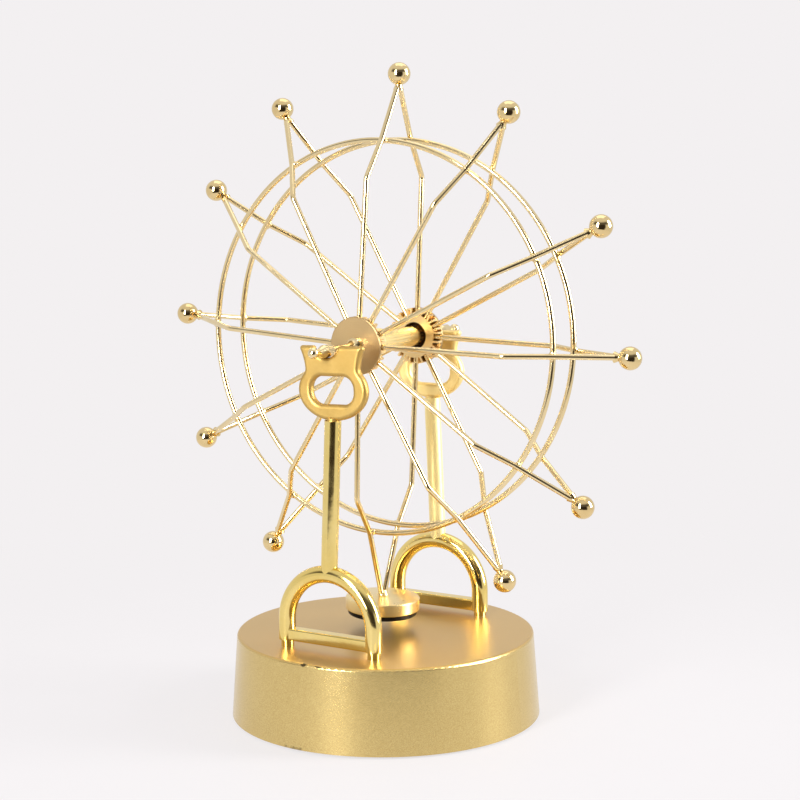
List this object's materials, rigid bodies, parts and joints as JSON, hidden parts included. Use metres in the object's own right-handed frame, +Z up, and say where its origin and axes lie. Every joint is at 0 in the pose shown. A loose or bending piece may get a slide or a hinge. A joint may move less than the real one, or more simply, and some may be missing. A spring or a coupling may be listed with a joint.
{
  "type": "magnetic desk wheel",
  "caption": "Wire wheel with ball-tipped arms and a magnet weight, swinging in open cradles on arched stands over a round battery base with a drive coil.",
  "frame": {"origin": "on the table, under the centre of the base", "axes": "+Z up; the axle lies along Y and the wheel turns in the XZ plane; the front is towards -Y"},
  "size_m": [0.2274, 0.13, 0.2723],
  "materials": {
    "gold_paint": "satin metallic gold paint on moulded plastic",
    "black_plastic": "fine-textured moulding",
    "white_plastic": "plain moulding",
    "bright_gold": "mirror-polished gold plating on zinc and steel",
    "satin_gold": "satin gold plating on a casting",
    "pale_gold": "polished pale gold plating on steel wire and balls",
    "satin_pale_gold": "satin pale gold plating",
    "magnet_black": "bare ferrite",
    "rubber": "soft rubber",
    "cell_jacket": "plain printed jacket without marks",
    "spring_bronze": "bare spring strip",
    "copper_wire": "enamelled copper winding",
    "board_green": "solder mask",
    "component_black": "moulded component bodies",
    "lead_red": "PVC insulation",
    "zinc_steel": "zinc-plated steel"
  },
  "bodies": {
    "base": {"base_shell": "gold_paint", "bottom_cover": "black_plastic", "battery_box": "black_plastic", "battery_cells": "cell_jacket", "battery_contacts": "spring_bronze", "coil_bobbin": "white_plastic", "drive_coil": "copper_wire", "coil_core": "zinc_steel", "circuit_board": "board_green", "board_components": "component_black", "lead_wires": "lead_red", "cover_screws": "zinc_steel", "rubber_feet": "rubber", "stand_nuts": "zinc_steel", "front_arch": "bright_gold", "front_studs": "bright_gold", "front_post": "bright_gold", "front_cradle": "satin_gold", "back_arch": "bright_gold", "back_studs": "bright_gold", "back_post": "bright_gold", "back_cradle": "satin_gold"},
    "door": {"battery_door": "black_plastic"},
    "wheel": {"axle_tube": "pale_gold", "front_axle_end": "pale_gold", "back_axle_end": "pale_gold", "front_hub_disc": "satin_pale_gold", "back_hub_disc": "satin_pale_gold", "front_hub_claw": "satin_pale_gold", "back_hub_claw": "satin_pale_gold", "front_hoop": "pale_gold", "back_hoop": "pale_gold", "rim_balls": "pale_gold", "weight_cap": "satin_pale_gold", "magnet": "magnet_black", "front_spoke_01": "pale_gold", "front_spoke_02": "pale_gold", "front_spoke_03": "pale_gold", "front_spoke_04": "pale_gold", "front_spoke_05": "pale_gold", "front_spoke_06": "pale_gold", "front_spoke_07": "pale_gold", "front_spoke_08": "pale_gold", "front_spoke_09": "pale_gold", "front_spoke_10": "pale_gold", "front_spoke_11": "pale_gold", "front_spoke_12": "pale_gold", "back_spoke_01": "pale_gold", "back_spoke_02": "pale_gold", "back_spoke_03": "pale_gold", "back_spoke_04": "pale_gold", "back_spoke_05": "pale_gold", "back_spoke_06": "pale_gold", "back_spoke_07": "pale_gold", "back_spoke_08": "pale_gold", "back_spoke_09": "pale_gold", "back_spoke_10": "pale_gold", "back_spoke_11": "pale_gold", "back_spoke_12": "pale_gold"}
  },
  "joints": [
    {"name": "wheel_spin", "type": "hinge", "parent": "base", "child": "wheel", "pos_m": [0, 0.0043, 0.1575], "axis": [0, 1, 0], "continuous": true},
    {"name": "battery_door_slide", "type": "slide", "parent": "base", "child": "door", "axis": [0, 1, 0], "range_m": [0, 0.007]}
  ]
}
